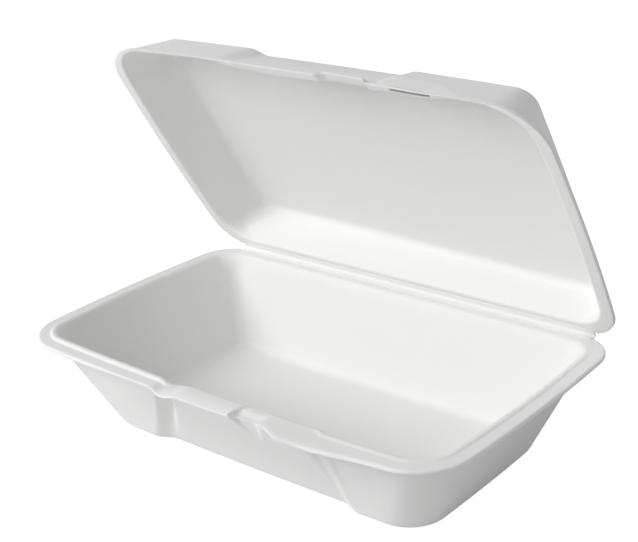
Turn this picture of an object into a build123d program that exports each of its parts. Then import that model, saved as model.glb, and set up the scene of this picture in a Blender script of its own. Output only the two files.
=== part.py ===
from build123d import *
import os

os.makedirs("parts", exist_ok=True)

# Hinged foam food container: a deep tray and a shallow lid joined along the back long side.
# X runs along the long side, Y from the front lip to the hinge, Z up; the tray stands on Z = 0.
# The lid is drawn closed and then turned open about the fold to its resting place.

# Whole container
length = 235.0
depth = 148.2
foam = 2.5
fold_y = 70.0
fold_z = 47.6
open_deg = 57.2
fold_gap = 0.15
fold_inset = 15.8
fold_half = length / 2 - fold_inset

# Rim shared by tray and lid
front_bow = 4.1
side_bow = 2.7
front_corner = 21.0
back_corner = 19.0
flange = 2.3
flange_round = 0.9
web = 0.8
web_width = 2.2

# Tray
tray_mouth = 9.0
tray_wall = 6.0
base_side = 27.5
base_front = 29.4
base_back = 21.5
base_corner = 17.0
base_round = 5.6
base_bow_share = 0.3
floor_round = 5.0
bead_height = 1.1
bead_width = 1.9
bead_round = 0.7
bead_back = 22.0
pull_left_share = 0.085
pull_middle_share = 0.2085
pull_right_share = 0.3745
pull_left = length * pull_left_share
pull_middle = length * pull_middle_share
pull_right = length * pull_right_share
pull_reach = 4.2

# Inset panel in the tray's front wall, narrower and off centre at the rim
panel_half_share = 0.2115
panel_half = length * panel_half_share
panel_step = 9.3
panel_depth = 3.85
panel_top_left_share = 0.081
panel_top_right_share = 0.234
panel_top_left = length * panel_top_left_share
panel_top_right = length * panel_top_right_share
panel_top_step = 5.0
panel_top_depth = 2.0
panel_round = 4.0

# Lid
lid_mouth = 5.6
lid_wall = 3.0
lid_wall_back = 5.0
lid_height = 24.0
top_side = 18.6
top_front = 16.7
top_back = 8.2
top_corner = 12.0
top_bow_share = 0.3
top_round = 4.5
top_round_in = 4.0
lid_panel_half_share = 0.1523
lid_panel_half = length * lid_panel_half_share
lid_panel_step = 9.3
lid_panel_depth = 3.7
lid_panel_low_depth = 1.2

# Lock: a rounded tongue on the tray's lip under a hood in the lid's lip
lock_x = 24.5
tongue_width = 22.0
tongue_rise = 5.2
tongue_thick = 2.2
tongue_front = 1.8
tongue_drop = 8.0
tongue_round = 0.8
hood_wall = 1.8
hood_clear = 0.8
hood_reach = 0.9
hood_round = 1.0
slit_left = 48.4
slit_length = 18.4
slit_width = 1.8
slit_inset = 4.0


def front_y(x, half, y_front, bow):
    """Bowed front edge: y of the line at x."""
    return y_front + bow * (x / half) ** 2


def plan(side, front, back, corner_f, corner_b, bow_share, panel=None, pull=False):
    """Outline face inset from the rim by side, front and back; panel = (xl, xr, step, inset)."""
    half = length / 2 - side
    bow_f = front_bow * bow_share
    bow_s = side_bow * bow_share
    y_front = fold_y - depth + front
    y_back = fold_y - back
    y_mid = (y_front + y_back) / 2
    x_end = half - bow_s
    y_end = y_front + bow_f
    edges = []
    steps = []
    if pull:
        marks = [(x, front_y(x, x_end, y_front, bow_f)) for x in (pull_left, pull_middle, pull_right)]
        slopes = [(1, 2 * bow_f * x / x_end**2) for x in (pull_left, pull_right)]
        x_left = (pull_left - x_end) / 2
        x_right = (pull_right + x_end) / 2
        tip = (pull_middle, marks[1][1] - pull_reach)
        left_mid = (x_left, front_y(x_left, x_end, y_front, bow_f))
        right_mid = (x_right, front_y(x_right, x_end, y_front, bow_f))
        edges.append(ThreePointArc((-x_end, y_end), left_mid, marks[0]))
        edges.append(Spline(marks[0], tip, marks[2], tangents=slopes))
        edges.append(ThreePointArc(marks[2], right_mid, (x_end, y_end)))
    elif panel is None:
        edges.append(ThreePointArc((-x_end, y_end), (0, y_front), (x_end, y_end)))
    else:
        xl, xr, step, inset = panel
        marks = [(xl - step, 0), (xl, inset), (xr, inset), (xr + step, 0)]
        steps = [(x, front_y(x, x_end, y_front, bow_f) + dy) for x, dy in marks]
        x_left = (steps[0][0] - x_end) / 2
        x_right = (steps[-1][0] + x_end) / 2
        x_in = (xl + xr) / 2
        left_mid = (x_left, front_y(x_left, x_end, y_front, bow_f))
        right_mid = (x_right, front_y(x_right, x_end, y_front, bow_f))
        panel_mid = (x_in, front_y(x_in, x_end, y_front, bow_f) + inset)
        edges.append(ThreePointArc((-x_end, y_end), left_mid, steps[0]))
        edges.append(Line(steps[0], steps[1]))
        edges.append(ThreePointArc(steps[1], panel_mid, steps[2]))
        edges.append(Line(steps[2], steps[3]))
        edges.append(ThreePointArc(steps[3], right_mid, (x_end, y_end)))
    edges.append(ThreePointArc((x_end, y_end), (half, y_mid), (x_end, y_back)))
    edges.append(Line((x_end, y_back), (-x_end, y_back)))
    edges.append(ThreePointArc((-x_end, y_back), (-half, y_mid), (-x_end, y_end)))
    face = make_face(edges)
    fronts = [v for v in face.vertices() if abs(abs(v.X) - x_end) < foam and v.Y < y_mid]
    face = fillet(fronts, radius=corner_f)
    backs = [v for v in face.vertices() if abs(abs(v.X) - x_end) < foam and v.Y > y_back - foam]
    face = fillet(backs, radius=corner_b)
    for px, py in steps:
        near = [v for v in face.vertices() if abs(v.X - px) < flange and abs(v.Y - py) < flange]
        face = fillet(near, radius=panel_round)
    return face


def drafted(low, low_z, high, high_z):
    """Solid with straight drafted walls between two outlines."""
    return loft([Pos(0, 0, low_z) * low, Pos(0, 0, high_z) * high], ruled=True)


def mix(a, b, share):
    """Value at a share of the way from a to b."""
    return a + (b - a) * share


def rim_plan(inset, pull=False):
    """Outline that runs inset from the rim's outer edge."""
    return plan(inset, inset, inset, front_corner - inset, back_corner - inset, 1, None, pull)


# Tray
tray_top = fold_z - fold_gap
panel_rim = (-panel_top_left, panel_top_right, panel_top_step, panel_top_depth)
panel_base = (-panel_half, panel_half, panel_step, panel_depth)


def tray_level(share, extra):
    """Wall outline at a share of the height; extra moves it inwards by the foam's thickness."""
    side = mix(base_side, tray_wall, share) + extra
    front = mix(base_front, tray_wall, share) + extra
    back = mix(base_back, tray_wall, share) + extra
    corner = mix(base_corner, front_corner - tray_wall, share) - extra
    panel = tuple(mix(a, b, share) for a, b in zip(panel_base, panel_rim))
    return plan(side, front, back, corner, corner, mix(base_bow_share, 1, share), panel)


wall_in = tray_mouth - tray_wall
flange_low = tray_top - flange
seat = tray_top - flange / 2
above = bead_height + foam
tray_body = drafted(tray_level(0, 0), 0, tray_level(seat / tray_top, 0), seat)
low_edges = tray_body.edges().filter_by(lambda e: e.center().Z < flange / 2)
tray_body = fillet(low_edges, base_round)

cavity_low = tray_level(foam / tray_top, wall_in)
cavity_high = tray_level(1 + above / tray_top, wall_in)
cavity = drafted(cavity_low, foam, cavity_high, tray_top + above)
floor_edges = cavity.edges().filter_by(lambda e: e.center().Z < foam + flange / 2)
cavity = fillet(floor_edges, floor_round)

rim = Pos(0, 0, flange_low) * extrude(rim_plan(0, True), flange)
rim_edges = rim.edges().filter_by(lambda e: abs(e.bounding_box().size.Z) < fold_gap)
rim = fillet(rim_edges, flange_round)


def web_strip(z_low):
    """Thin strip that carries the flange to the fold line."""
    span = web_width + web - fold_gap
    strip = Box(2 * fold_half - foam, span, web, align=(Align.CENTER, Align.MAX, Align.MIN))
    return Pos(0, fold_y - fold_gap, z_low) * strip


def web_relief(z_low):
    """Room cut from the thick flange beside the fold."""
    cut = Box(2 * fold_half, web_width + foam, flange + foam, align=(Align.CENTER, Align.MIN, Align.CENTER))
    return Pos(0, fold_y - web_width, z_low + flange / 2) * cut


bead = Pos(0, 0, seat) * extrude(rim_plan(tray_mouth - bead_width), flange / 2 + bead_height)
bead = bead - cavity
bead_cut_x = panel_top_left + panel_top_right + 2 * panel_top_step
bead_cut_mid = (panel_top_right - panel_top_left) / 2
front_cut = Box(bead_cut_x, 2 * tray_mouth + foam, tray_mouth, align=(Align.CENTER, Align.MIN, Align.CENTER))
bead = bead - Pos(bead_cut_mid, fold_y - depth, tray_top) * front_cut
back_cut = Box(2 * length, depth, tray_mouth, align=(Align.CENTER, Align.MIN, Align.CENTER))
bead = bead - Pos(0, fold_y - bead_back, tray_top) * back_cut
bead_edges = bead.edges().filter_by(lambda e: e.bounding_box().min.Z > tray_top + bead_height / 2)
bead = fillet(bead_edges, bead_round)


def arch(width, low, high):
    """Upright arched face, centred on X = 0 in the XZ plane, round at the top."""
    shoulder = high - width / 4
    sides = Polyline((-width / 2, shoulder), (-width / 2, low), (width / 2, low), (width / 2, shoulder))
    crown = ThreePointArc((width / 2, shoulder), (0, high), (-width / 2, shoulder))
    return Plane.XZ * make_face([sides, crown])


lip_y = front_y(lock_x, length / 2, fold_y - depth, front_bow)
tongue_y = lip_y + tongue_front
tongue_face = arch(tongue_width, flange_low, tray_top + tongue_rise)
tongue = Pos(lock_x, tongue_y + tongue_thick, 0) * extrude(tongue_face, tongue_thick)
tongue = fillet(tongue.edges().filter_by(lambda e: e.bounding_box().min.Z > flange_low + web), tongue_round)
boss_face = arch(tongue_width, tray_top - tongue_drop, seat)
boss = Pos(lock_x, tongue_y + tray_mouth, 0) * extrude(boss_face, tray_mouth)
boss_edges = boss.edges().filter_by(lambda e: e.center().Z < tray_top - tongue_drop + web)
boss_edges = boss_edges.filter_by(lambda e: e.center().Y < tongue_y + web)
boss = chamfer(boss_edges, tongue_drop - flange - web)

tray = (tray_body + rim + boss) - cavity - web_relief(flange_low) + web_strip(tray_top - web) + bead + tongue
export_step(tray, "parts/tray.step")

# Lid, drawn closed
lid_low = fold_z + fold_gap
lid_top = fold_z + lid_height
lid_panel_low = (-lid_panel_half, lid_panel_half, lid_panel_step, lid_panel_low_depth)
lid_panel_high = (-lid_panel_half, lid_panel_half, lid_panel_step, lid_panel_depth)


def lid_level(share, extra):
    """Wall outline at a share of the lid's height; extra moves it inwards."""
    side = mix(lid_wall, top_side, share) + extra
    front = mix(lid_wall, top_front, share) + extra
    back = mix(lid_wall_back, top_back, share) + extra
    corner = mix(front_corner - lid_wall, top_corner, share) - extra
    panel = tuple(mix(a, b, share) for a, b in zip(lid_panel_low, lid_panel_high))
    return plan(side, front, back, corner, corner, mix(1, top_bow_share, share), panel)


lid_in = lid_mouth - lid_wall
lid_span = lid_top - lid_low
seat_share = flange / 2 / lid_span
lid_body = drafted(lid_level(seat_share, 0), lid_low + flange / 2, lid_level(1, 0), lid_top)
lid_body = fillet(lid_body.edges().filter_by(lambda e: e.center().Z > lid_top - web), top_round)
mouth_face = lid_level(-seat_share, lid_in)
ceiling_face = lid_level(1 - foam / lid_span, lid_in)
lid_cavity = drafted(mouth_face, lid_low - flange / 2, ceiling_face, lid_top - foam)
panel_edges = lid_cavity.edges().filter_by(lambda e: e.center().Z > lid_top - foam - web)
lid_cavity = fillet(panel_edges, top_round_in)

lid_rim = Pos(0, 0, lid_low) * extrude(rim_plan(0), flange)
lid_rim = fillet(lid_rim.edges().filter_by(lambda e: abs(e.bounding_box().size.Z) < fold_gap), flange_round)
pocket_width = tongue_width + 2 * hood_clear
pocket_top = tray_top + tongue_rise + hood_clear
hood_y = lip_y - hood_reach
hood_back = tongue_y + tongue_thick + hood_clear + foam
hood_face = arch(pocket_width + 2 * hood_wall, lid_low, pocket_top + hood_wall)
hood = Pos(lock_x, hood_back, 0) * extrude(hood_face, hood_back - hood_y)
hood = fillet(hood.edges().filter_by(lambda e: e.bounding_box().max.Z > lid_low + web), hood_round)
pocket_y = tongue_y - hood_clear
pocket_back = hood_back + foam
pocket_face = arch(pocket_width, lid_low - foam, pocket_top)
pocket = Pos(lock_x, pocket_back, 0) * extrude(pocket_face, pocket_back - pocket_y)
slit_y = front_y(slit_left, length / 2, fold_y - depth, front_bow) + slit_inset
slit = Box(slit_length, slit_width, 2 * foam, align=(Align.MIN, Align.CENTER, Align.CENTER))
slit = Pos(slit_left, slit_y, lid_low) * slit
lid = (lid_body + lid_rim + hood) - lid_cavity - pocket - slit - web_relief(lid_low) + web_strip(lid_low)
fold = Axis((0, fold_y, fold_z), (-1, 0, 0))
lid = lid.rotate(fold, open_deg)
export_step(lid, "parts/lid.step")
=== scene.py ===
"""Dresses a hinged foam food container: a deep tray and a shallow lid joined by a fold.

Shapes are parametric surfaces in millimetres in the CAD frame (X along the long side, Y from the
front lip to the fold, Z up), and meshes are made in metres. An inset is a distance inwards from
the container's outline. A level is one point of a wall's section, carried once round the outline
as a ring. A window is (start, end, rise, fall), as in the function of that name.
"""

import logging
import math
from dataclasses import dataclass, field
from enum import Enum

import bpy
import numpy as np
from mathutils import Matrix, Vector

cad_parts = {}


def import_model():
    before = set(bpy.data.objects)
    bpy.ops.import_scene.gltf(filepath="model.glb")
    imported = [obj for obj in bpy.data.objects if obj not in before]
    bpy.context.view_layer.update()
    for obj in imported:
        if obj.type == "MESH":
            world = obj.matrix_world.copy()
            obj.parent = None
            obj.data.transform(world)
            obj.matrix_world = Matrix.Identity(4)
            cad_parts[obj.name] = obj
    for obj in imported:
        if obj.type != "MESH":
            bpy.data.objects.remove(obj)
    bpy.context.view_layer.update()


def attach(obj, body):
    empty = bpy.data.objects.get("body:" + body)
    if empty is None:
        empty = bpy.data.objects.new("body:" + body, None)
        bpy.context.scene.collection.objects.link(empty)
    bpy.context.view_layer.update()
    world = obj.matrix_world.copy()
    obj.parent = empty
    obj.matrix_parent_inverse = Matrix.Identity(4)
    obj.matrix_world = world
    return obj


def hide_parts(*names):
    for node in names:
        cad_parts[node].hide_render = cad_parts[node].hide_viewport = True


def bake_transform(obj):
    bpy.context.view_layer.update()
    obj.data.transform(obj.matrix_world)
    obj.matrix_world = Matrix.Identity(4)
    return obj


MM = 0.001
QUARTER = math.pi / 2
# Angle between faces, in radians, past which an edge is shaded hard.
SHARP_ANGLE = 0.9
# Points on each rounded corner of a section.
ARC_SAMPLES = 8
# Rings that close a floor, and the first one's share of the edge's size.
POLE_RINGS = 10
POLE_START = 0.04
# No ring has a smaller corner radius than this.
LEAST_CORNER = 2.0
Numbers = float | np.ndarray
log = logging.getLogger("container")


class Wall(Enum):
    """The kinds of wall round the container; each has its own draft."""

    FRONT = 0
    SIDE = 1
    BACK = 2


def mix(low: Numbers, high: Numbers, share: Numbers) -> Numbers:
    """Straight blend from low at share 0 to high at share 1.

    Args:
        low: Value at 0.
        high: Value at 1.
        share: Where to evaluate.

    Returns:
        low + (high - low) share.
    """
    return low + (high - low) * share


def smooth(value: np.ndarray, low: Numbers, high: Numbers) -> np.ndarray:
    """Smooth rise from 0 at low to 1 at high (3t^2 - 2t^3), either way round.

    Args:
        value: Where to evaluate.
        low: Value that gives 0.
        high: Value that gives 1.

    Returns:
        Weights between 0 and 1.
    """
    t = np.clip((value - low) / (high - low), 0, 1)
    return t * t * (3 - 2 * t)


def window(
    value: np.ndarray, start: Numbers, end: Numbers, rise: Numbers, fall: Numbers
) -> np.ndarray:
    """Smooth bump that is 1 between start + rise and end - fall.

    Args:
        value: Where to evaluate.
        start: Where the bump begins.
        end: Where it ends.
        rise: Length of the first slope.
        fall: Length of the last slope.

    Returns:
        Weights between 0 and 1.
    """
    return smooth(value, start, start + rise) * smooth(value, end, end - fall)


def rounded_path(points: np.ndarray, radii: np.ndarray, edges: tuple[int, ...]) -> np.ndarray:
    """Samples a polyline whose inner corners are rounded by arcs.

    Each arc has its corner's radius; it starts r tan(turn / 2) before the corner.

    Args:
        points: Corner points, (m, 2).
        radii: Radius at each inner corner, (m - 2,).
        edges: Samples along each straight edge, (m - 1,).

    Returns:
        Points along the path, (n, 2).
    """
    step = np.diff(points, axis=0)
    unit = step / np.linalg.norm(step, axis=1, keepdims=True)
    u, v = unit[:-1], unit[1:]
    cross = u[:, 0] * v[:, 1] - u[:, 1] * v[:, 0]
    turn = np.arctan2(cross, (u * v).sum(1))
    reach = (radii * np.tan(np.abs(turn) / 2))[:, None]
    corner = points[1:-1]
    start, end = corner - u * reach, corner + v * reach
    normal = np.stack([-u[:, 1], u[:, 0]], 1) * np.sign(cross)[:, None]
    centre = start + normal * radii[:, None]
    angle = np.linspace(0, 1, ARC_SAMPLES)[None, :] * turn[:, None]
    spoke = (start - centre)[:, None, :]
    cos, sin = np.cos(angle), np.sin(angle)
    along = spoke[..., 0] * cos - spoke[..., 1] * sin
    across = spoke[..., 0] * sin + spoke[..., 1] * cos
    arcs = np.stack([along, across], -1) + centre[:, None, :]
    begins = np.vstack([points[:1], end])
    ends = np.vstack([start, points[-1:]])
    parts = []
    for i, count in enumerate(edges):
        t = np.linspace(0, 1, count + 2)[1:-1, None]
        parts.append(begins[i] + (ends[i] - begins[i]) * t)
        if i < len(arcs):
            parts.append(arcs[i])
    return np.vstack(parts)


def close_floor(rings: np.ndarray, first: bool) -> np.ndarray:
    """Adds rings that shrink the end ring towards its centre, so that the mesh closes.

    Args:
        rings: Points, (levels, columns, 3).
        first: True adds them before the first ring, False after the last.

    Returns:
        All rings.
    """
    edge = rings[0] if first else rings[-1]
    centre = edge.mean(0)
    t = np.linspace(POLE_START, 1, POLE_RINGS, endpoint=False)[:, None, None]
    extra = centre + (edge - centre) * t
    return np.concatenate([extra, rings]) if first else np.concatenate([rings, extra[::-1]])


def mesh_object(
    name: str, rings: np.ndarray, finish: "FoamFinish"
) -> bpy.types.Object:
    """Closed mesh from rings that run from one pole to the other; a pole is its end ring's centre.

    Args:
        name: Object and mesh name.
        rings: Points in millimetres, (rings, columns, 3).
        finish: Finish that makes the material.

    Returns:
        The linked object, at the origin, with outward faces.
    """
    k, n, _ = rings.shape
    poles = np.stack([rings[0].mean(0), rings[-1].mean(0)])
    verts = np.vstack([rings.reshape(-1, 3), poles]) * MM
    i = np.arange(k - 1)[:, None] * n
    j = np.arange(n)[None, :]
    j2 = (j + 1) % n
    quads = np.stack([i + j, i + j2, i + n + j2, i + n + j], -1).reshape(-1, 4)
    first = np.stack([np.full(n, k * n), j2[0], j[0]], -1)
    last = np.stack([np.full(n, k * n + 1), (k - 1) * n + j[0], (k - 1) * n + j2[0]], -1)
    tris = np.vstack([first, last])
    a, b, c, d = (verts[quads[:, m]] for m in range(4))
    volume = (a * np.cross(b, c)).sum() + (a * np.cross(c, d)).sum()
    if volume < 0:
        quads, tris = quads[:, ::-1], tris[:, ::-1]
    mesh = bpy.data.meshes.new(name)
    mesh.from_pydata(verts.tolist(), [], quads.tolist() + tris.tolist())
    mesh.shade_smooth()
    mesh.set_sharp_from_angle(angle=SHARP_ANGLE)
    mesh.update()
    obj = bpy.data.objects.new(name, mesh)
    bpy.context.collection.objects.link(obj)
    mesh.materials.append(finish.material())
    return obj


@dataclass(frozen=True)
class FoamFinish:
    """Matte white closed-cell foam with a faint skin of small cells.

    Attributes:
        name: Material name.
        color: Base colour.
        roughness: Roughness of the skin.
        specular: Strength of its sheen.
        cell: Width of a cell, in metres.
        bump: Strength of the cells' relief.
        bump_height: Height of the relief, in metres.
    """

    name: str = "white foam"
    color: tuple[float, float, float] = (0.85, 0.85, 0.845)
    roughness: float = 0.62
    specular: float = 0.3
    cell: float = 0.0016
    bump: float = 0.12
    bump_height: float = 0.00012

    def material(self) -> bpy.types.Material:
        """Builds the material once and gives it back on later calls."""
        made = bpy.data.materials.get(self.name)
        if made is not None:
            return made
        made = bpy.data.materials.new(self.name)
        made.use_nodes = True
        nodes, links = made.node_tree.nodes, made.node_tree.links
        shader = nodes["Principled BSDF"]
        shader.inputs["Base Color"].default_value = (*self.color, 1)
        shader.inputs["Roughness"].default_value = self.roughness
        shader.inputs["Specular IOR Level"].default_value = self.specular
        place = nodes.new("ShaderNodeTexCoord")
        cells = nodes.new("ShaderNodeTexVoronoi")
        cells.inputs["Scale"].default_value = 1 / self.cell
        bump = nodes.new("ShaderNodeBump")
        bump.inputs["Strength"].default_value = self.bump
        bump.inputs["Distance"].default_value = self.bump_height
        links.new(place.outputs["Object"], cells.inputs["Vector"])
        links.new(cells.outputs["Distance"], bump.inputs["Height"])
        links.new(bump.outputs["Normal"], shader.inputs["Normal"])
        return made


@dataclass(frozen=True)
class Rim:
    """The outline that tray and lid share, as columns of a rounded and bowed rectangle.

    A column is given by a (along the long sides, -1 to 1), b (0 at the front, 1 at the back) and
    theta, the direction of its corner spoke. At any inset x = a (half - r) + r cos(theta), and y
    runs likewise between the front and back edges.

    Attributes:
        length: Size along X.
        depth: Size along Y.
        fold_y: Place of the fold.
        front_bow: How far the front's middle bows out.
        side_bow: How far the short sides' middles bow out.
        front_step: Spacing of the columns on the front.
        side_count: Columns on each short side.
        back_count: Columns on the back.
        corner_count: Columns on each corner.
        relief_half: Half length of the relief beside the fold.
        relief_depth: Depth of that relief.
        relief_end: Length over which its ends rise.
        relief_power: Power of the spoke's direction that keeps it on the back wall.
    """

    length: float = 235.0
    depth: float = 148.2
    fold_y: float = 70.0
    front_bow: float = 4.1
    side_bow: float = 2.7
    front_step: float = 0.7
    side_count: int = 44
    back_count: int = 56
    corner_count: int = 20
    relief_half: float = 103.8
    relief_depth: float = 2.4
    relief_end: float = 1.5
    relief_power: int = 4

    def columns(self) -> tuple[np.ndarray, np.ndarray, np.ndarray]:
        """Gives a, b and theta of every column, once round from the front left."""
        front = np.arange(0, self.length, self.front_step)
        nf, ns, nb, nc = len(front), self.side_count, self.back_count, self.corner_count
        turn = np.linspace(0, QUARTER, nc, endpoint=False)
        t_f = np.linspace(-1, 1, nf, endpoint=False)
        t_b = np.linspace(1, -1, nb, endpoint=False)
        t_s = np.linspace(0, 1, ns, endpoint=False)
        one, q = np.ones, QUARTER
        a = np.concatenate([t_f, one(nc), one(ns), one(nc), t_b, -one(nc), -one(ns), -one(nc)])
        b = np.concatenate([0 * t_f, 0 * turn, t_s, one(nc), one(nb), one(nc), 1 - t_s, 0 * turn])
        theta = np.concatenate([
            0 * t_f - q, turn - q, 0 * t_s, turn, 0 * t_b + q, turn + q, 0 * t_s + 2 * q, turn + 2 * q,
        ])
        return a, b, theta

    def rings(
        self,
        side: np.ndarray,
        front: np.ndarray,
        back: np.ndarray,
        corner_front: np.ndarray,
        corner_back: np.ndarray,
        bow: np.ndarray,
    ) -> tuple[np.ndarray, np.ndarray]:
        """Lays one ring of the outline for each level.

        Args:
            side: Inset of the short sides at each level.
            front: Inset of the front at each level.
            back: Inset of the back at each level.
            corner_front: Radius of the front corners at each level.
            corner_back: Radius of the back corners at each level.
            bow: Share of the full bow at each level.

        Returns:
            x and y, each (levels, columns).
        """
        a, b, theta = self.columns()
        side, front, back, bow = (v[:, None] for v in (side, front, back, bow))
        rf = np.maximum(corner_front, LEAST_CORNER)[:, None]
        rb = np.maximum(corner_back, LEAST_CORNER)[:, None]
        half = self.length / 2 - side - self.side_bow * bow
        y_front = self.fold_y - self.depth + front + self.front_bow * bow
        y_back = self.fold_y - back
        r = rf * (1 - b) + rb * b
        x = a * (half - r) + r * np.cos(theta)
        y = (y_front + rf) * (1 - b) + (y_back - rb) * b + r * np.sin(theta)
        across = x / half
        along = 2 * (y - y_front) / (y_back - y_front) - 1
        y = y - self.front_bow * bow * (1 - across**2) * ((1 - along) / 2) ** 2
        x = x + across * np.abs(across) * self.side_bow * bow * (1 - along**2)
        return x, y

    def blend(self, front: np.ndarray, side: np.ndarray, back: np.ndarray) -> np.ndarray:
        """Mixes a value of each wall kind round the corners by the square of the spoke's direction.

        Args:
            front: Value on the front wall at each level.
            side: Value on the short sides at each level.
            back: Value on the back wall at each level.

        Returns:
            Values, (levels, columns).
        """
        theta = self.columns()[2]
        f = np.clip(-np.sin(theta), 0, 1) ** 2
        b = np.clip(np.sin(theta), 0, 1) ** 2
        s = 1 - f - b
        return front[:, None] * f + side[:, None] * s + back[:, None] * b

    def fold_relief(self, x: np.ndarray, overhang: np.ndarray) -> np.ndarray:
        """How far a lip's back edge draws in beside the fold, where the thin strip takes over.

        Args:
            x: Ring points.
            overhang: 1 at the lip's edge and 0 at the wall, for each level.

        Returns:
            Distances in millimetres.
        """
        back = np.clip(np.sin(self.columns()[2]), 0, 1) ** self.relief_power
        ends = window(x, -self.relief_half, self.relief_half, self.relief_end, self.relief_end)
        return self.relief_depth * back * overhang[:, None] * ends

    def front_wall(self) -> np.ndarray:
        """Marks the columns of the straight front with 1 and the rest with 0."""
        _, b, theta = self.columns()
        return ((b == 0) & (theta == -QUARTER)).astype(float)


@dataclass(frozen=True)
class PanelInset:
    """A panel pressed into a front wall; each pair runs straight from the low to the high edge.

    Attributes:
        left: Place of the left edge.
        right: Place of the right edge.
        step: Width of the slope round the panel.
        depth: How deep the panel is pressed in.
    """

    left: tuple[float, float]
    right: tuple[float, float]
    step: tuple[float, float]
    depth: tuple[float, float]

    def push(self, x: np.ndarray, share: np.ndarray) -> np.ndarray:
        """How far the wall is pushed inwards.

        Args:
            x: Place along the wall.
            share: Height share, 0 low to 1 high.

        Returns:
            Distances in millimetres.
        """
        s = np.clip(share, 0, 1)
        return mix(*self.depth, s) * self.edge(x, s)

    def edge(self, x: np.ndarray, share: np.ndarray) -> np.ndarray:
        """Marks the panel with 1, with a smooth step round it.

        Args:
            x: Place along the wall.
            share: Height share, 0 low to 1 high.

        Returns:
            Weights between 0 and 1.
        """
        left, right, step = (mix(*pair, share) for pair in (self.left, self.right, self.step))
        return window(x, left - step, right + step, step, step)


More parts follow.
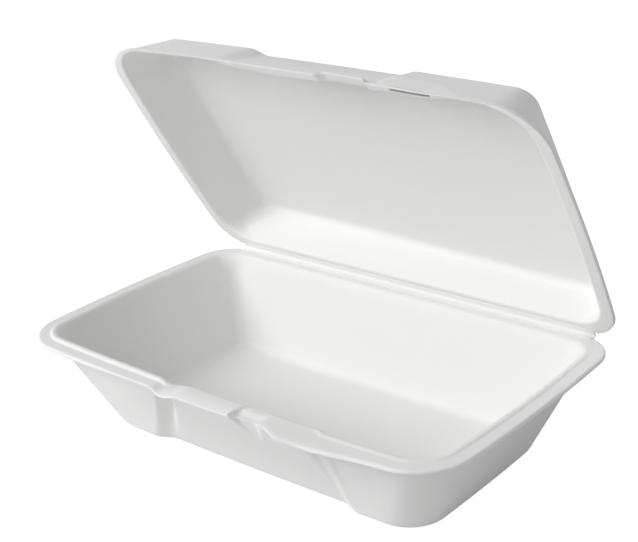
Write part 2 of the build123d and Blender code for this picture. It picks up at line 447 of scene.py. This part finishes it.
@dataclass
class Tray:
    """The deep tray: wall, lip with a bead round the mouth, lock notch, pull edge, front panel.

    Attributes:
        rim: Outline shared with the lid.
        finish: Material of the foam.
        top: Height of the lip's top.
        foam: Thickness of the floor.
        flange: Thickness of the lip.
        wall: Inset of the outer wall at the top.
        mouth: Inset of the inner wall at the top.
        base: Inset of each wall's foot.
        floor_run: How far the section runs in along the floor.
        radii: Radii of the section's corners, from the foot over the lip to the inner floor.
        samples: Points on the section's straight edges, in the same order.
        base_corner: Corner radius at the foot.
        rim_corner: Corner radius of the outer wall at the top.
        inner_corner: Radius of the inner back corners near the top.
        inner_depth: Depth below the top over which they take it on.
        lip_tighten: The lip's back corners are tighter by its overhang over this number.
        base_bow: Share of the bow at the foot.
        bead: Inset of the bead's foot and its height.
        bead_slope: Where its slope starts before the foot and ends past it.
        bead_right: Height of the bead at the right.
        bead_gap: Window along X in which the front has no bead.
        bead_back: Distances from the fold between which the bead fades out.
        bead_blend: Depth of inner wall that moves with the bead.
        dip: Window along X of the dip in the front lip.
        dip_depth: Depth of the dip.
        dip_blend: Height below the lip over which the dip sets in.
        flare_left: Window of the swelling left of the panel, from the panel's left edge.
        flare_shift: How far the swelling over the panel is shifted right.
        flare_end: Places between which it fades out.
        flare_reach: How far the left and the panel swell out at the top.
        flare_power: Power of the height share.
        edge_inset: Inset of the limiting plane at the lip's top.
        edge_slope: Its slope, inset for each millimetre down.
        lip_soft: Window along X of the softened lip.
        lip_fall: Inset up to which it falls and how far it falls at the edge.
        notch: Window along X of the lock's notch.
        notch_drop: Depth of the notch.
        notch_full: Inset up to which it has its full depth.
        notch_inner: Share of the depth that is left at the mouth.
        notch_run: How far behind the mouth's edge points are still cut.
        notch_start: Share of the notch within which the bead gives way.
        scoop_width: Half width of the scoop below the notch, low and high.
        scoop_height: Heights between which it deepens.
        scoop_depth: Its depth at the top.
        scoop_edge: Widths of its left and right slopes.
        scoop_shift: How much farther its left side lies from the notch's middle than its right.
        scoop_fade: Insets between which it fades in on the inner levels.
        relief_inset: Insets between which the relief beside the fold sets in.
        panel: The inset panel.
        pull: Window along X of the pull edge.
        pull_reach: How far the pull edge stands out.
    """

    rim: Rim
    finish: FoamFinish
    top: float = 47.45
    foam: float = 2.5
    flange: float = 2.3
    wall: float = 6.0
    mouth: float = 9.0
    base: dict[Wall, float] = field(
        default_factory=lambda: {Wall.FRONT: 29.4, Wall.SIDE: 27.5, Wall.BACK: 21.5}
    )
    floor_run: float = 12.0
    radii: tuple[float, ...] = (6.0, 1.2, 1.1, 1.1, 0.9, 0.7, 2.4, 5.0)
    samples: tuple[int, ...] = (2, 32, 6, 1, 10, 2, 3, 28, 2)
    base_corner: float = 17.0
    rim_corner: float = 15.0
    inner_corner: float = 6.0
    inner_depth: float = 14.0
    lip_tighten: float = 3.0
    base_bow: float = 0.3
    bead: tuple[float, float] = (6.0, 1.1)
    bead_slope: tuple[float, float] = (0.4, 0.8)
    bead_right: float = 0.45
    bead_gap: tuple[float, float, float, float] = (-25.0, 60.0, 5.0, 8.0)
    bead_back: tuple[float, float] = (16.0, 22.0)
    bead_blend: float = 3.0
    dip: tuple[float, float, float, float] = (-28.0, -12.0, 6.0, 7.0)
    dip_depth: float = 1.2
    dip_blend: float = 2.0
    flare_left: tuple[float, float, float, float] = (-62.0, -3.0, 44.0, 5.0)
    flare_shift: float = 5.0
    flare_end: tuple[float, float] = (63.0, 50.0)
    flare_reach: tuple[float, float] = (3.9, 7.8)
    flare_power: float = 1.3
    edge_inset: float = 0.1
    edge_slope: float = 0.47
    lip_soft: tuple[float, float, float, float] = (-27.0, 17.0, 4.0, 3.0)
    lip_fall: tuple[float, float] = (6.0, 1.5)
    notch: tuple[float, float, float, float] = (16.6, 34.0, 2.2, 7.0)
    notch_drop: float = 1.9
    notch_full: float = 3.0
    notch_inner: float = 0.4
    notch_run: float = 4.0
    notch_start: float = 0.1
    scoop_width: tuple[float, float] = (1.6, 7.6)
    scoop_height: tuple[float, float] = (32.0, 46.5)
    scoop_depth: float = 2.0
    scoop_edge: tuple[float, float] = (1.2, 4.0)
    scoop_shift: float = 1.0
    scoop_fade: tuple[float, float] = (8.0, 1.0)
    relief_inset: tuple[float, float] = (3.0, 0.5)
    panel: PanelInset = PanelInset((-49.7, -19.0), (49.7, 55.0), (9.3, 5.0), (3.85, 2.0))
    pull: tuple[float, float, float, float] = (34.0, 96.0, 12.0, 46.0)
    pull_reach: float = 4.4

    def profile(self, base: float) -> np.ndarray:
        """Section of one wall from the outer bottom over the lip to the inner floor.

        Args:
            base: Inset of the wall's foot.

        Returns:
            Insets and heights, (n, 2).
        """
        slope = (self.wall - base) / self.top
        low = self.top - self.flange
        floor_edge = base + slope * self.foam + self.mouth - self.wall
        foot, lift = self.bead
        before, past = self.bead_slope
        points = np.array([
            (base + self.floor_run, 0),
            (base, 0),
            (base + slope * low, low),
            (0, low),
            (0, self.top),
            (foot - before, self.top),
            (foot + past, self.top + lift),
            (self.mouth, self.top + lift),
            (floor_edge, self.foam),
            (floor_edge + self.floor_run, self.foam),
        ])
        return rounded_path(points, np.array(self.radii), self.samples)

    def rings(self) -> np.ndarray:
        """Lays the section round the rim, then shapes the bead, panel, pull edge, lock and lip."""
        front, side, back = (self.profile(self.base[w]) for w in (Wall.FRONT, Wall.SIDE, Wall.BACK))
        share = side[:, 1] / self.top
        extra = side[:, 0] - mix(self.base[Wall.SIDE], self.wall, share)
        corner = mix(self.base_corner, self.rim_corner, share) - extra
        corner_back = corner + np.where(extra < 0, extra / self.lip_tighten, 0)
        inside = np.arange(len(share)) > np.argmax(side[:, 1])
        tight = smooth(side[:, 1], self.top, self.top - self.inner_depth) * inside
        corner_back = mix(corner_back, self.inner_corner, tight)
        bow = mix(self.base_bow, 1, np.clip(share, 0, 1))
        x, y = self.rim.rings(side[:, 0], front[:, 0], back[:, 0], corner, corner_back, bow)
        z = self.rim.blend(front[:, 1], side[:, 1], back[:, 1])
        z = self.lower_bead(x, y, z)
        on_front = self.rim.front_wall()[None, :]
        inset = front[:, 0]
        y = y + self.pressed(x, share[:, None], extra) * on_front
        lip = np.clip(-extra / self.wall, 0, 1)[:, None]
        y = y - self.pull_reach * window(x, *self.pull) * lip * on_front
        z = z - self.softened(x, z, inset) * on_front
        z = self.notched(x, y, z) * on_front + z * (1 - on_front)
        outside = np.arange(len(share)) <= np.argmin(inset)
        y = y - self.flare(x, z, inset, extra) * on_front
        fade = np.where(outside, 1, smooth(inset, *self.scoop_fade))[:, None]
        y = y + self.scoop(x, z) * fade * on_front
        y = y - self.rim.fold_relief(x, smooth(side[:, 0], *self.relief_inset))
        under = self.top - self.flange
        on_lip = smooth(z, under - self.dip_blend, under) * on_front
        z = z - self.dip_depth * window(x, *self.dip) * on_lip
        return np.stack([x, y, z], -1)

    def pressed(self, x: np.ndarray, share: np.ndarray, extra: np.ndarray) -> np.ndarray:
        """How far the panel pushes a level in: fully on the wall, and not at the lip's edge.

        Args:
            x: Ring points.
            share: Height share.
            extra: Inset past the outer wall of each level.

        Returns:
            Distances in millimetres.
        """
        return self.panel.push(x, share) * np.clip(1 + extra / self.wall, 0, 1)[:, None]

    def flare(self, x: np.ndarray, z: np.ndarray, inset: np.ndarray, extra: np.ndarray) -> np.ndarray:
        """How far the outer front wall swells out towards the lip: reach times (z / top) ^ power.

        It swells on the left and over the panel, with a groove between the two, and stays behind a
        plane that slopes down and in from the lip's edge; the lip's own edge is drawn back to it.

        Args:
            x: Ring points.
            z: Heights.
            inset: Front inset of each level.
            extra: Inset past the outer wall of each level.

        Returns:
            Distances in millimetres.
        """
        outer = (np.arange(len(inset)) <= np.argmin(inset))[:, None]
        share = np.clip(z / self.top, 0, 1)
        left, middle = self.flare_reach
        on_left = window(x - mix(*self.panel.left, share), *self.flare_left)
        on_panel = self.panel.edge(x - self.flare_shift, share) * smooth(x, *self.flare_end)
        reach = (left * on_left + middle * on_panel) * share**self.flare_power
        plane = self.edge_inset + self.edge_slope * np.clip(self.top - z, 0, None)
        here = inset[:, None] + self.pressed(x, share, extra)
        back = np.clip(plane - here, 0, None) * np.maximum(on_left, on_panel)
        swell = np.minimum(reach, np.clip(here - plane, 0, None)) * outer
        return swell - back * (inset < self.wall)[:, None]

    def softened(self, x: np.ndarray, z: np.ndarray, inset: np.ndarray) -> np.ndarray:
        """How far the lip's top falls towards its outer edge: fall (1 - inset / width)^2.

        Args:
            x: Ring points.
            z: Heights.
            inset: Front inset of each level.

        Returns:
            Distances in millimetres.
        """
        width, fall = self.lip_fall
        share = np.clip(1 - inset[:, None] / width, 0, 1) ** 2
        return fall * share * window(x, *self.lip_soft) * smooth(z, self.top - self.flange, self.top)

    def notched(self, x: np.ndarray, y: np.ndarray, z: np.ndarray) -> np.ndarray:
        """Cuts the lock's notch across the front lip: no point there stays above its floor.

        Args:
            x: Ring points.
            y: Ring points.
            z: Heights without the notch.

        Returns:
            Heights.
        """
        share = window(x, *self.notch)
        front = self.rim.fold_y - self.rim.depth
        near = y < front + self.mouth + self.notch_run
        deep = mix(self.notch_inner, 1, smooth(y, front + self.mouth, front + self.notch_full))
        bead = self.bead[1] * (1 - smooth(share, 0, self.notch_start))
        floor = self.top + bead - self.notch_drop * share * deep
        return np.where(near, np.minimum(z, floor), z)

    def scoop(self, x: np.ndarray, z: np.ndarray) -> np.ndarray:
        """How deep the wall is pressed in below the notch; the scoop narrows and fades downwards.

        Args:
            x: Ring points.
            z: Heights.

        Returns:
            Distances in millimetres.
        """
        low, high = self.scoop_height
        share = np.clip((z - low) / (high - low), 0, 1)
        width = mix(*self.scoop_width, share)
        right = (self.notch[0] + self.notch[1]) / 2
        left = right - self.scoop_shift
        return self.scoop_depth * window(x, left - width, right + width, *self.scoop_edge) * share

    def lower_bead(self, x: np.ndarray, y: np.ndarray, z: np.ndarray) -> np.ndarray:
        """Flattens the bead over the front panel and beside the fold, and lowers it at the right.

        Args:
            x: Ring points.
            y: Ring points.
            z: Heights with the full bead.

        Returns:
            Heights.
        """
        lift = self.bead[1]
        keep = 1 - window(x, *self.bead_gap) * (y < 0)
        keep = keep * mix(1, self.bead_right / lift, smooth(x, *self.bead_gap[:2]))
        near, far = self.bead_back
        keep = keep * smooth(y, self.rim.fold_y - near, self.rim.fold_y - far)
        inner = np.arange(len(z))[:, None] > np.argmax(z[:, 0])
        on_inner = smooth(z, self.top - self.bead_blend, self.top + lift)
        share = np.where(inner, on_inner, np.clip((z - self.top) / lift, 0, 1))
        return z - lift * share * (1 - keep)

    def build(self) -> bpy.types.Object:
        """Makes the tray's mesh on its body."""
        rings = close_floor(close_floor(self.rings(), True), False)
        obj = mesh_object("tray_foam", rings, self.finish)
        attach(obj, "tray")
        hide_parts("tray")
        return obj


@dataclass
class Lid:
    """The shallow lid, drawn closed and turned open about the fold.

    Attributes:
        rim: Outline shared with the tray.
        finish: Material of the foam.
        low: Height of the closing face.
        high: Height of the outer top.
        foam: Thickness of the ceiling.
        flange: Thickness of the lip.
        wall: Inset of each outer wall at the lip.
        top: Inset of each outer wall at the top.
        inner: How far the inner wall lies inside the outer one.
        top_run: How far the section runs in along the top and the ceiling.
        radii: Radii of the section's corners, from the outer top to the ceiling.
        samples: Points on the section's straight edges, in the same order.
        corners: Corner radius of the outer wall at the lip and at the top.
        inner_corner: Radius of the inner back corners above the closing face.
        inner_depth: Height over which they take it on.
        lip_tighten: The lip's back corners are tighter by its overhang over this number.
        top_bow: Share of the bow at the top.
        face_level: Height over the closing face that still counts as the face.
        panel: The inset panel.
        fold_z: Height of the fold.
        open_deg: How far the lid stands open at rest.
        slit: Window along X of the slit in the front lip.
        slit_inset: Window of insets that the slit takes up.
        slit_depth: Its depth.
        slit_lean: How far it leans in for each millimetre of depth.
        notch: Window along X of the recess over the lock.
        notch_rise: Its height.
        notch_blend: Height over which it fades.
        mouth_bump: Window along X in which the mouth keeps its width.
        mouth_reach: How far the mouth widens outside that window.
        mouth_blend: Height over which the widening fades.
        mouth_inset: Insets between which the widening sets in.
        edge_inset: Inset of the limiting plane at the closing face.
        edge_slope: Its slope, inset for each millimetre up.
        edge_set: How far the plane is set back within the mouth's window.
        face_tilt: Rise of the closing face for each millimetre of inset.
        face_width: Inset up to which it rises.
        face_blend: Height over which the tilt fades.
        sag: How far the ceiling's inner back edge sags along Y and Z.
        sag_x: Places along X between which the sag grows.
        sag_back: Distance from the fold at which it is full; it starts at Y = 0.
        sag_start: Height over the closing face at which it starts.
        relief_inset: Insets between which the relief beside the fold sets in.
    """

    rim: Rim
    finish: FoamFinish
    low: float = 47.75
    high: float = 71.6
    foam: float = 2.5
    flange: float = 2.3
    wall: dict[Wall, float] = field(
        default_factory=lambda: {Wall.FRONT: 3.0, Wall.SIDE: 3.0, Wall.BACK: 5.0}
    )
    top: dict[Wall, float] = field(
        default_factory=lambda: {Wall.FRONT: 16.7, Wall.SIDE: 18.6, Wall.BACK: 8.2}
    )
    inner: float = 2.6
    top_run: float = 10.0
    radii: tuple[float, ...] = (4.5, 1.0, 1.1, 0.6, 1.6, 4.0)
    samples: tuple[int, ...] = (3, 30, 4, 1, 22, 30, 3)
    corners: tuple[float, float] = (18.0, 7.5)
    inner_corner: float = 6.0
    inner_depth: float = 8.0
    lip_tighten: float = 1.5
    top_bow: float = 0.3
    face_level: float = 0.1
    panel: PanelInset = PanelInset((-35.8, -35.8), (35.8, 35.8), (9.3, 9.3), (1.2, 3.7))
    fold_z: float = 47.6
    open_deg: float = 57.2
    slit: tuple[float, float, float, float] = (49.3, 67.7, 0.8, 0.8)
    slit_inset: tuple[float, float, float, float] = (1.5, 3.9, 0.3, 0.3)
    slit_depth: float = 6.5
    slit_lean: float = 0.68
    notch: tuple[float, float, float, float] = (11.5, 38.5, 5.0, 3.0)
    notch_rise: float = 1.9
    notch_blend: float = 6.5
    mouth_bump: tuple[float, float, float, float] = (-68.0, 88.0, 60.0, 28.0)
    mouth_reach: float = 3.6
    mouth_blend: float = 15.0
    mouth_inset: tuple[float, float] = (0.8, 5.6)
    edge_inset: float = 0.1
    edge_slope: float = 0.55
    edge_set: float = 1.7
    face_tilt: float = 0.2
    face_width: float = 5.6
    face_blend: float = 6.0
    sag: tuple[float, float] = (3.2, 1.8)
    sag_x: tuple[float, float] = (-90.0, 110.0)
    sag_back: float = 8.0
    sag_start: float = 4.0
    relief_inset: tuple[float, float] = (2.6, 0.5)

    def profile(self, wall: Wall) -> np.ndarray:
        """Section of one wall from the outer top over the lip to the inner ceiling.

        Args:
            wall: Kind of wall.

        Returns:
            Insets and heights, (n, 2).
        """
        low, high = self.wall[wall], self.top[wall]
        span = self.high - self.low
        over = self.low + self.flange
        under = self.high - self.foam
        ceiling = mix(low, high, 1 - self.foam / span) + self.inner
        points = np.array([
            (high + self.top_run, self.high),
            (high, self.high),
            (mix(low, high, self.flange / span), over),
            (0, over),
            (0, self.low),
            (low + self.inner, self.low),
            (ceiling, under),
            (ceiling + self.top_run, under),
        ])
        return rounded_path(points, np.array(self.radii), self.samples)

    def rings(self) -> np.ndarray:
        """Lays the section round the rim and shapes the panel, mouth, slit and recess, closed."""
        front, side, back = (self.profile(w) for w in (Wall.FRONT, Wall.SIDE, Wall.BACK))
        height = side[:, 1]
        share = (height - self.low) / (self.high - self.low)
        extra = side[:, 0] - mix(self.wall[Wall.SIDE], self.top[Wall.SIDE], share)
        corner = mix(*self.corners, share) - extra
        corner_back = corner + np.where(extra < 0, extra / self.lip_tighten, 0)
        on_face = height < self.low + self.face_level
        inside = np.arange(len(share)) > np.argmax(on_face)
        tight = smooth(height, self.low, self.low + self.inner_depth) * inside
        corner_back = mix(corner_back, self.inner_corner, tight)
        bow = mix(1, self.top_bow, np.clip(share, 0, 1))
        x, y = self.rim.rings(side[:, 0], front[:, 0], back[:, 0], corner, corner_back, bow)
        z = self.rim.blend(front[:, 1], side[:, 1], back[:, 1])
        on_front = self.rim.front_wall()[None, :]
        inset = front[:, 0]
        reach = np.clip(1 + extra / self.wall[Wall.FRONT], 0, 1)[:, None]
        theta = self.rim.columns()[2]
        out = self.flush(x, z, inset, inside) * np.clip(-np.sin(theta), 0, 1) ** 2
        press = self.panel.push(x, share[:, None]) * reach * on_front
        x = x + out * np.cos(theta)
        y = y + press + out * np.sin(theta)
        y = y - self.rim.fold_relief(x, smooth(side[:, 0], *self.relief_inset))
        across = window(inset, *self.slit_inset) * (inside & on_face)
        cut = self.slit_depth * across[:, None] * window(x, *self.slit) * on_front
        over_lock = smooth(z, self.low + self.notch_blend, self.low)
        lifted = self.notch_rise * window(x, *self.notch) * over_lock
        tilt = self.face_tilt * np.clip(inset, 0, self.face_width) * inside
        tilted = tilt[:, None] * smooth(z, self.low + self.face_blend, self.low)
        z = z + cut + (lifted + tilted) * on_front
        y = y + self.slit_lean * cut
        return np.stack([x, y, z], -1)

    def flush(self, x: np.ndarray, z: np.ndarray, inset: np.ndarray, inside: np.ndarray) -> np.ndarray:
        """How far the front wall moves out to meet the lip's edge, and the mouth at its ends.

        Outside it falls straight from the lip to nothing at the top; inside it is the mouth's reach
        times 1 - bump, fading with height.

        Args:
            x: Ring points.
            z: Closed heights.
            inset: Front inset of each level.
            inside: True on the inner levels.

        Returns:
            Distances in millimetres.
        """
        share = np.clip((z - self.low) / (self.high - self.low), 0, 1)
        bump = window(x, *self.mouth_bump)
        plane = self.edge_inset + self.edge_set * bump + self.edge_slope * np.clip(z - self.low, 0, None)
        here = inset[:, None]
        lip = self.wall[Wall.FRONT]
        outside = np.minimum(lip * (1 - share), np.clip(here - plane, 0, None))
        outside = outside - np.clip(plane - here, 0, None) * (here < lip)
        fade = smooth(z, self.low + self.mouth_blend, self.low)
        widen = self.mouth_reach * (1 - bump) * fade * smooth(inset, *self.mouth_inset)[:, None]
        return np.where(inside[:, None], widen, outside)

    def sagged(self, rings: np.ndarray) -> np.ndarray:
        """Lets the inner back edge of the ceiling sag to the right, smoothly over the inside.

        Args:
            rings: Closed points, (levels, columns, 3).

        Returns:
            The points with the sag.
        """
        x, y, z = rings[..., 0], rings[..., 1], rings[..., 2]
        inside = (np.arange(len(rings)) > np.argmin(z[:, 0]))[:, None]
        share = smooth(x, *self.sag_x) * smooth(y, 0, self.rim.fold_y - self.sag_back)
        share = share * smooth(z, self.low + self.sag_start, self.high - self.foam) * inside
        return np.stack([x, y + self.sag[0] * share, z - self.sag[1] * share], -1)

    def turned(self, points: np.ndarray) -> np.ndarray:
        """Turns closed points open about the fold.

        Args:
            points: Points in millimetres, (..., 3).

        Returns:
            Points at rest.
        """
        angle = math.radians(self.open_deg)
        y, z = points[..., 1] - self.rim.fold_y, points[..., 2] - self.fold_z
        out = points.copy()
        out[..., 1] = self.rim.fold_y + y * math.cos(angle) + z * math.sin(angle)
        out[..., 2] = self.fold_z - y * math.sin(angle) + z * math.cos(angle)
        return out

    def build(self) -> bpy.types.Object:
        """Makes the lid's mesh on its body."""
        rings = self.sagged(close_floor(close_floor(self.rings(), True), False))
        obj = mesh_object("lid_foam", self.turned(rings), self.finish)
        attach(obj, "lid")
        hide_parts("lid")
        return obj


@dataclass
class FoldStrip:
    """The thin strip of pressed foam that joins tray and lid, drawn bent round the fold at the lid's
    rest opening.

    Its section is a hyperbola between the two lips: at arm u it lies sqrt(u^2 + belly^2) - sink
    in front of the fold and u tan(half the opening) to the side. Its ends are rounded.

    Attributes:
        lid: The lid, which holds the fold's place and opening.
        finish: Material of the foam.
        half: Half length.
        reach: Length of each arm.
        thick: Thickness.
        belly: Distance of the section's middle in front of where its arms would meet.
        sink: How far behind the fold its arms would meet.
        spread: Not used.
        end_round: Length over which the ends are rounded.
        end_length: Length over which the belly shrinks towards the ends.
        end_pinch: How much it shrinks.
        end_cut: Share of the rounding at which the mesh stops.
        sections: Sections along the strip.
        points: Points on one side of a section.
    """

    lid: Lid
    finish: FoamFinish
    half: float = 103.2
    reach: float = 4.0
    thick: float = 0.8
    belly: float = 3.0
    sink: float = 1.45
    spread: float = 1.2
    end_round: float = 2.0
    end_length: float = 6.0
    end_pinch: float = 0.45
    end_cut: float = 0.995
    sections: int = 160
    points: int = 41

    def build(self) -> bpy.types.Object:
        """Makes the strip: its section runs along the tray's lip, round the fold and along the lid's."""
        fold_y, fold_z = self.lid.rim.fold_y, self.lid.fold_z
        half_open = math.radians(self.lid.open_deg) / 2
        x = self.half * np.sin(np.linspace(-QUARTER, QUARTER, self.sections))[:, None]
        t = np.linspace(-1, 1, self.points)[None, :]
        pinch = self.end_pinch * smooth(np.abs(x), self.half - self.end_length, self.half)
        past = (np.abs(x) - self.half + self.end_round) / self.end_round
        taper = np.sqrt(1 - np.clip(past, 0, self.end_cut) ** 2)
        arm = t * self.reach * taper
        out = np.sqrt(arm**2 + (self.belly * (1 - pinch)) ** 2)
        side = arm * math.tan(half_open)
        axis = np.array([math.cos(half_open), -math.sin(half_open)])
        cross = np.array([math.sin(half_open), math.cos(half_open)])
        line = np.array([fold_y, fold_z]) + (self.sink - out)[..., None] * axis + side[..., None] * cross
        tangent = np.gradient(line, axis=1)
        tangent /= np.linalg.norm(tangent, axis=-1, keepdims=True)
        normal = np.stack([tangent[..., 1], -tangent[..., 0]], -1)
        half_thick = (self.thick / 2 * taper)[..., None]
        loop = np.concatenate([line + normal * half_thick, (line - normal * half_thick)[:, ::-1]], 1)
        rings = np.concatenate([np.broadcast_to(x[..., None], loop.shape[:2] + (1,)), loop], -1)
        obj = mesh_object("fold_strip", rings, self.finish)
        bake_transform(obj)
        return obj


@dataclass(frozen=True)
class Studio:
    """Camera at the photograph's viewpoint, a key and a rim light, even fill and a white floor.

    Attributes:
        place: Camera's place, in metres.
        right: Camera's right direction.
        up: Camera's up direction.
        lens: Focal length in millimetres.
        sensor: Sensor width in millimetres.
        clip: Nearest and farthest distance seen, in metres.
        key_at: Place of the key light.
        key_power: Its power in watts.
        rim_at: Place of the rim light.
        rim_power: Its power in watts.
        light_aim: Point that both lights face.
        light_size: Diameter of both lights.
        fill: Strength of the world's light at the horizon and overhead.
        floor_size: Half the floor's side.
        floor_drop: How far the floor lies below the tray.
        floor_color: The floor's colour.
        floor_roughness: The floor's roughness.
        floor_glow: How much the floor glows to the camera.
    """

    place: tuple[float, float, float] = (0.3539, -0.4275, 0.2999)
    right: tuple[float, float, float] = (0.7824, 0.6217, -0.0369)
    up: tuple[float, float, float] = (-0.2029, 0.3105, 0.9287)
    lens: float = 76.4
    sensor: float = 36.0
    clip: tuple[float, float] = (0.01, 20.0)
    key_at: tuple[float, float, float] = (-0.433, -0.815, 0.66)
    key_power: float = 8.3
    rim_at: tuple[float, float, float] = (0.6, 0.42, 0.95)
    rim_power: float = 1.7
    light_aim: tuple[float, float, float] = (0.0, 0.0, 0.06)
    light_size: float = 0.6
    fill: tuple[float, float] = (0.6, 0.11)
    floor_size: float = 4.0
    floor_drop: float = 0.0002
    floor_color: tuple[float, float, float] = (0.8, 0.8, 0.8)
    floor_roughness: float = 0.9
    floor_glow: float = 0.8

    def camera(self) -> None:
        """Sets the camera from its place and its right and up directions."""
        data = bpy.data.cameras.new("camera")
        data.sensor_width = self.sensor
        data.lens = self.lens
        data.clip_start, data.clip_end = self.clip
        obj = bpy.data.objects.new("camera", data)
        bpy.context.collection.objects.link(obj)
        right = Vector(self.right).normalized()
        back = right.cross(Vector(self.up)).normalized()
        up = back.cross(right)
        turn = Matrix((right, up, back)).transposed()
        obj.matrix_world = Matrix.Translation(self.place) @ turn.to_4x4()
        bpy.context.scene.camera = obj

    def softbox(self, name: str, place: tuple[float, float, float], power: float) -> None:
        """Adds a round area light aimed at the object's middle.

        Args:
            name: Object name.
            place: Where it stands, in metres.
            power: Its power in watts.
        """
        data = bpy.data.lights.new(name, "AREA")
        data.shape = "DISK"
        data.size = self.light_size
        data.energy = power
        obj = bpy.data.objects.new(name, data)
        obj.rotation_mode = "QUATERNION"
        obj.rotation_quaternion = (Vector(place) - Vector(self.light_aim)).to_track_quat("Z", "Y")
        obj.location = place
        bpy.context.collection.objects.link(obj)

    def world(self) -> None:
        """Grey fill, strongest at the horizon, that looks white to the camera and in reflections."""
        world = bpy.data.worlds.new("studio")
        bpy.context.scene.world = world
        world.use_nodes = True
        nodes, links = world.node_tree.nodes, world.node_tree.links
        out = nodes["World Output"]
        fill = nodes["Background"]
        fill.inputs["Color"].default_value = (1, 1, 1, 1)
        place = nodes.new("ShaderNodeTexCoord")
        axes = nodes.new("ShaderNodeSeparateXYZ")
        span = nodes.new("ShaderNodeMapRange")
        span.inputs["To Min"].default_value, span.inputs["To Max"].default_value = self.fill
        links.new(place.outputs["Generated"], axes.inputs[0])
        links.new(axes.outputs["Z"], span.inputs["Value"])
        links.new(span.outputs["Result"], fill.inputs["Strength"])
        white = nodes.new("ShaderNodeBackground")
        white.inputs["Color"].default_value = (1, 1, 1, 1)
        path = nodes.new("ShaderNodeLightPath")
        seen = path.outputs["Is Camera Ray"]
        for ray in ("Is Glossy Ray", "Is Transmission Ray"):
            either = nodes.new("ShaderNodeMath")
            either.operation = "MAXIMUM"
            links.new(seen, either.inputs[0])
            links.new(path.outputs[ray], either.inputs[1])
            seen = either.outputs[0]
        mix_shader = nodes.new("ShaderNodeMixShader")
        links.new(seen, mix_shader.inputs["Fac"])
        links.new(fill.outputs[0], mix_shader.inputs[1])
        links.new(white.outputs[0], mix_shader.inputs[2])
        links.new(mix_shader.outputs[0], out.inputs["Surface"])

    def floor(self) -> None:
        """Pale floor under the tray; to the camera it glows up to white and keeps the shadow."""
        size = self.floor_size
        corners = [(-size, -size, 0), (size, -size, 0), (size, size, 0), (-size, size, 0)]
        mesh = bpy.data.meshes.new("floor")
        mesh.from_pydata(corners, [], [(0, 1, 2, 3)])
        obj = bpy.data.objects.new("floor", mesh)
        obj.location.z = -self.floor_drop
        bpy.context.collection.objects.link(obj)
        made = bpy.data.materials.new("floor")
        made.use_nodes = True
        nodes, links = made.node_tree.nodes, made.node_tree.links
        shader = nodes["Principled BSDF"]
        shader.inputs["Base Color"].default_value = (*self.floor_color, 1)
        shader.inputs["Roughness"].default_value = self.floor_roughness
        shader.inputs["Specular IOR Level"].default_value = 0
        shader.inputs["Emission Color"].default_value = (1, 1, 1, 1)
        path = nodes.new("ShaderNodeLightPath")
        glow = nodes.new("ShaderNodeMath")
        glow.operation = "MULTIPLY"
        glow.inputs[1].default_value = self.floor_glow
        links.new(path.outputs["Is Camera Ray"], glow.inputs[0])
        links.new(glow.outputs[0], shader.inputs["Emission Strength"])
        mesh.materials.append(made)

    def build(self) -> None:
        """Sets up the camera, lights, world and floor and the plain view transform."""
        self.camera()
        self.softbox("key", self.key_at, self.key_power)
        self.softbox("rim_light", self.rim_at, self.rim_power)
        self.world()
        self.floor()
        bpy.context.scene.view_settings.view_transform = "Standard"


def main() -> None:
    """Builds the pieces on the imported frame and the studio, and logs each piece's face count."""
    logging.basicConfig(level=logging.INFO, format="%(name)s: %(message)s")
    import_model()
    rim, foam = Rim(), FoamFinish()
    tray = Tray(rim, foam)
    lid = Lid(rim, foam)
    made = [tray.build(), lid.build(), FoldStrip(lid, foam).build()]
    Studio().build()
    for obj in made:
        log.info("%s: %d faces", obj.name, len(obj.data.polygons))


if __name__ == "__main__":
    main()
